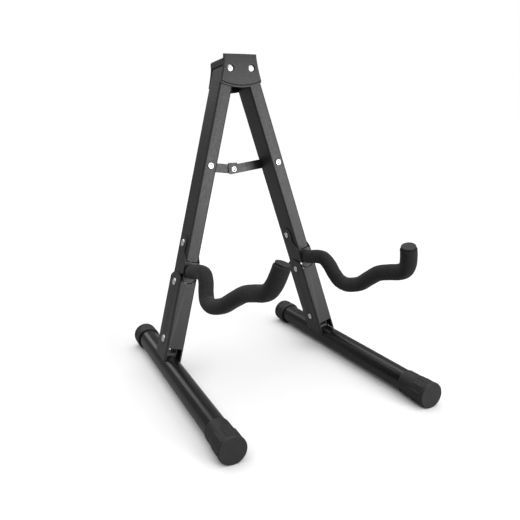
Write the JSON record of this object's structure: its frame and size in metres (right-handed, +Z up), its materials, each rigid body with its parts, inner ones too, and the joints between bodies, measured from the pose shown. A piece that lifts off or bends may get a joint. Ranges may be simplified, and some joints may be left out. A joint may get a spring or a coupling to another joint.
{
  "type": "guitar stand",
  "caption": "Folding A-frame floor stand for a guitar: leaning splayed legs, foam-covered cradle arms, capped tubular feet and a plastic head.",
  "frame": {"origin": "on the floor, at the middle of the stand's footprint box", "axes": "+Z up, +X from the left foot to the right foot, the arms and the long ends of the feet reach towards -Y"},
  "size_m": [0.2668, 0.3274, 0.377],
  "materials": {
    "black_leg": "satin black powder coat",
    "gloss_black_tube": "semi-gloss black paint",
    "black_strap": "satin black paint",
    "head_plastic": "fine matte moulded black plastic",
    "foot_cap": "moulded black rubber",
    "arm_foam": "soft black foam sleeve, matte and finely pored",
    "end_plug": "matte black plastic",
    "rivet_steel": "bright zinc plated steel",
    "zinc_hardware": "bright zinc plated steel"
  },
  "bodies": {
    "head": {"head_front_cover": "head_plastic", "head_rear_cover": "head_plastic", "left_pivot_screw": "zinc_hardware", "left_pivot_nut": "zinc_hardware", "left_pivot_bush": "zinc_hardware", "right_pivot_screw": "zinc_hardware", "right_pivot_nut": "zinc_hardware", "right_pivot_bush": "zinc_hardware"},
    "left_leg": {"left_upper_leg": "black_leg", "left_arm_rivet": "rivet_steel", "left_knee_rivet": "rivet_steel", "left_spreader_rivet": "rivet_steel", "left_spreader_spacer": "rivet_steel"},
    "left_arm": {"left_arm_bracket": "black_leg", "left_arm_rod": "black_strap", "left_arm_foam": "arm_foam", "left_arm_end_plug": "end_plug"},
    "left_foot": {"left_lower_leg": "black_leg", "left_foot_saddle": "black_strap", "left_foot_rivet": "rivet_steel", "left_foot_tube": "gloss_black_tube", "left_front_foot_cap": "foot_cap", "left_rear_foot_cap": "foot_cap"},
    "left_strap": {"spreader_left_strap": "black_strap", "centre_rivet_back": "rivet_steel"},
    "right_leg": {"right_upper_leg": "black_leg", "right_arm_rivet": "rivet_steel", "right_knee_rivet": "rivet_steel", "right_spreader_rivet": "rivet_steel"},
    "right_arm": {"right_arm_bracket": "black_leg", "right_arm_rod": "black_strap", "right_arm_foam": "arm_foam", "right_arm_end_plug": "end_plug"},
    "right_foot": {"right_lower_leg": "black_leg", "right_foot_saddle": "black_strap", "right_foot_rivet": "rivet_steel", "right_foot_tube": "gloss_black_tube", "right_front_foot_cap": "foot_cap", "right_rear_foot_cap": "foot_cap"},
    "right_strap": {"spreader_right_strap": "black_strap", "centre_rivet_front": "rivet_steel"}
  },
  "joints": [
    {"name": "left_leg_fold", "type": "hinge", "parent": "head", "child": "left_leg", "pos_m": [-0.01354, 0.09679, 0.35842], "axis": [0, -0.993, 0.1184], "range_deg": [0, 13.5]},
    {"name": "left_strap_fold", "type": "hinge", "parent": "left_leg", "child": "left_strap", "pos_m": [-0.04519, 0.10192, 0.24516], "axis": [0, -0.993, 0.1184], "range_deg": [0, 61]},
    {"name": "left_foot_fold", "type": "hinge", "parent": "left_leg", "child": "left_foot", "pos_m": [-0.08427, 0.0672, 0.11024], "axis": [-0.9622, 0.0322, 0.2704], "range_deg": [0, 95]},
    {"name": "left_arm_fold", "type": "hinge", "parent": "left_leg", "child": "left_arm", "pos_m": [-0.07119, 0.07267, 0.15611], "axis": [-0.9622, 0.0322, 0.2704], "range_deg": [0, 80.5]},
    {"name": "right_leg_fold", "type": "hinge", "parent": "head", "child": "right_leg", "pos_m": [0.01354, 0.09679, 0.35842], "axis": [0, 0.993, -0.1184], "range_deg": [0, 13.5]},
    {"name": "right_strap_fold", "type": "hinge", "parent": "right_leg", "child": "right_strap", "pos_m": [0.04519, 0.10192, 0.24516], "axis": [0, 0.993, -0.1184], "range_deg": [0, 61]},
    {"name": "right_foot_fold", "type": "hinge", "parent": "right_leg", "child": "right_foot", "pos_m": [0.08427, 0.0672, 0.11024], "axis": [-0.9622, -0.0322, -0.2704], "range_deg": [0, 95]},
    {"name": "right_arm_fold", "type": "hinge", "parent": "right_leg", "child": "right_arm", "pos_m": [0.07119, 0.07267, 0.15611], "axis": [-0.9622, -0.0322, -0.2704], "range_deg": [0, 80.5]}
  ],
  "couplings": [
    {"joint": "left_arm_fold", "follows": "left_foot_fold", "ratio": 0.8421},
    {"joint": "right_arm_fold", "follows": "right_foot_fold", "ratio": 0.8421},
    {"joint": "right_leg_fold", "follows": "left_leg_fold", "ratio": 1},
    {"joint": "left_strap_fold", "follows": "left_leg_fold", "ratio": 4.464},
    {"joint": "right_strap_fold", "follows": "left_leg_fold", "ratio": 4.464}
  ]
}
